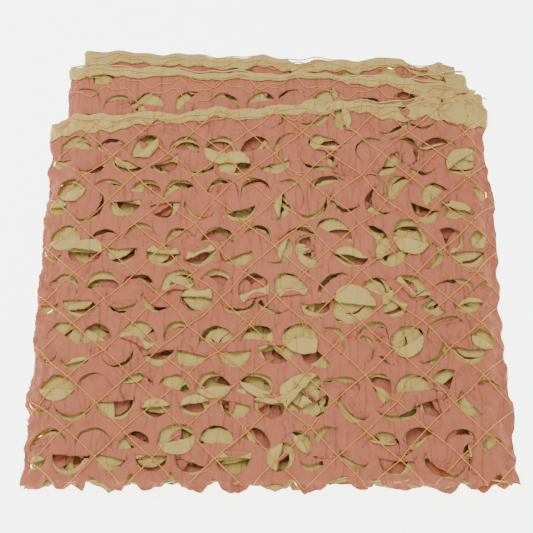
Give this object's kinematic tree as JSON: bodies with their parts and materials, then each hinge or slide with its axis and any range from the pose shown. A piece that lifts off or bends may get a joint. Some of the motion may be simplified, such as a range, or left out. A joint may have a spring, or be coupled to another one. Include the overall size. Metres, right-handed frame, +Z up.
{
  "type": "folded camouflage netting",
  "caption": "Incised two-tone camouflage netting in terracotta and tan, folded back and forth into a flat pack.",
  "frame": {"origin": "centre of the pack's footprint on the floor, under its lowest layer", "axes": "+X across the pack from its left folds to its right folds, +Y from the front edge to the back edge, +Z up"},
  "size_m": [0.9801, 1.0672, 0.0371],
  "materials": {
    "garnish_cloth": "matte coated cloth, terracotta on one side and tan on the other",
    "garnish_tan": "matte coated cloth, the tan side",
    "net_cord": "twisted golden cord, slight sheen",
    "border_cord": "matte twisted cord"
  },
  "bodies": {
    "root": {"garnish_cloth": "garnish_cloth", "border_cord_back": "border_cord", "border_cord_front": "border_cord"}
  },
  "joints": []
}
